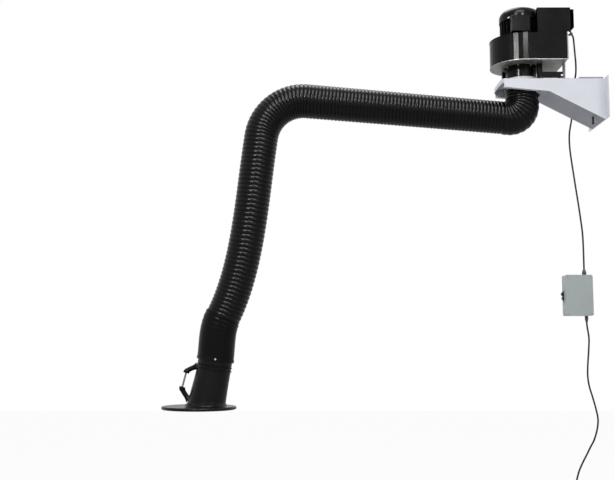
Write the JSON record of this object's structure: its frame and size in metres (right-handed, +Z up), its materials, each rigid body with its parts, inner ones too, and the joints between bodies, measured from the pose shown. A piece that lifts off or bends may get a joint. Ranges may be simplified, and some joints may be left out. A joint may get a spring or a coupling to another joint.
{
  "type": "fume extraction arm",
  "caption": "Wall-mounted fume extraction arm: sheet-metal bracket with a fan, a jointed ribbed hose, a flanged hood with a handle, and a hanging control box on its lead.",
  "frame": {"origin": "wall plate's back face, at the centre of its four bolt holes", "axes": "+X into the wall, +Y away from the viewer, +Z up; the arm reaches along -X"},
  "size_m": [2.2333, 0.374, 2.509],
  "materials": {
    "bracket_white": "smooth powder coat, light grey",
    "bracket_grey": "powder coat, mid grey in shade",
    "collar_grey": "powder coat, light grey",
    "galvanised": "dull galvanised sheet",
    "fan_black": "gloss black paint",
    "rubber": "moulded rubber",
    "hose_black": "glossy black coated fabric over a wire helix",
    "sleeve_black": "satin black rubber",
    "hood_black": "satin black moulded plastic",
    "steel": "bright zinc plate",
    "frame_steel": "dark grey paint",
    "slip_plastic": "natural acetal",
    "disc_lining": "pressed friction lining",
    "handle_white": "glossy white sleeve",
    "box_grey": "fine textured grey moulding",
    "gland_grey": "nylon",
    "lead_black": "black cable sheath",
    "switch_black": "gloss black moulding"
  },
  "bodies": {
    "bracket": {"wall_plate": "bracket_white", "side_panel_front": "bracket_white", "side_panel_back": "bracket_white", "slanted_bottom": "bracket_grey", "deck_plate": "bracket_white", "deck_collar": "collar_grey", "slip_ring": "slip_plastic", "top_cover": "bracket_grey", "cable_hook": "lead_black", "fan_spigot": "fan_black", "scroll_wrap": "fan_black", "scroll_bottom": "galvanised", "scroll_top": "fan_black", "outlet_flange": "collar_grey", "outlet_foot": "collar_grey", "foot_rails": "fan_black", "rubber_feet": "rubber", "motor_frame": "fan_black", "stator_core": "frame_steel", "drive_shield": "fan_black", "rear_shield": "steel", "motor_bearings": "steel", "fan_cowl": "fan_black", "terminal_box": "fan_black", "terminal_lid": "fan_black", "starter_box": "fan_black", "starter_lid": "fan_black", "starter_gland": "gland_grey", "upper_lead": "lead_black", "lower_lead": "lead_black", "control_box": "box_grey", "control_lid": "box_grey", "box_glands": "gland_grey", "mains_plug": "lead_black"},
    "rotor": {"motor_shaft": "steel", "rotor_core": "frame_steel", "impeller": "frame_steel", "cooling_fan": "steel"},
    "swivel": {"swivel_tube": "frame_steel", "shoulder_yoke": "frame_steel", "shoulder_pin": "steel", "top_clamp": "steel", "hose_shoulder": "hose_black"},
    "inner_arm": {"inner_link": "frame_steel", "shoulder_discs": "disc_lining", "hose_inner": "hose_black", "elbow_pin": "steel"},
    "outer_arm": {"outer_link": "frame_steel", "elbow_discs": "disc_lining", "hose_elbow": "hose_black", "hose_outer": "hose_black", "sleeve": "sleeve_black"},
    "hood_mount": {"hood_knuckle": "frame_steel", "hood_pin": "steel", "neck_collar": "hood_black", "sleeve_clamp": "fan_black"},
    "hood": {"hood_body": "hood_black", "hood_spider": "frame_steel", "handle_rod": "handle_white"},
    "rocker": {"box_rocker": "switch_black"}
  },
  "joints": [
    {"name": "rotor_spin", "type": "hinge", "parent": "bracket", "child": "rotor", "pos_m": [-0.398, 0, 0.4], "axis": [0, 0, 1], "continuous": true},
    {"name": "arm_swivel", "type": "hinge", "parent": "bracket", "child": "swivel", "pos_m": [-0.398, 0, 0.119], "axis": [0, 0, 1], "range_deg": [-90, 90]},
    {"name": "shoulder_tilt", "type": "hinge", "parent": "swivel", "child": "inner_arm", "pos_m": [-0.398, 0, -0.0665], "axis": [0, 1, 0], "range_deg": [-40, 12], "deforming": ["hose_shoulder"]},
    {"name": "elbow_tilt", "type": "hinge", "parent": "inner_arm", "child": "outer_arm", "pos_m": [-1.67457, 0, -0.01802], "axis": [0, 1, 0], "range_deg": [-45, 70], "deforming": ["hose_elbow"]},
    {"name": "hood_tilt", "type": "hinge", "parent": "outer_arm", "child": "hood_mount", "pos_m": [-1.95184, 0, -1.19011], "axis": [0, 1, 0], "range_deg": [-50, 35], "deforming": ["sleeve"]},
    {"name": "hood_turn", "type": "hinge", "parent": "hood_mount", "child": "hood", "pos_m": [-1.95184, 0, -1.19011], "axis": [0.1478, 0, 0.989], "range_deg": [-120, 120]},
    {"name": "rocker_tilt", "type": "hinge", "parent": "bracket", "child": "rocker", "pos_m": [-0.175, 0.132, -0.97], "axis": [0, 1, 0], "range_deg": [0, 14]}
  ]
}
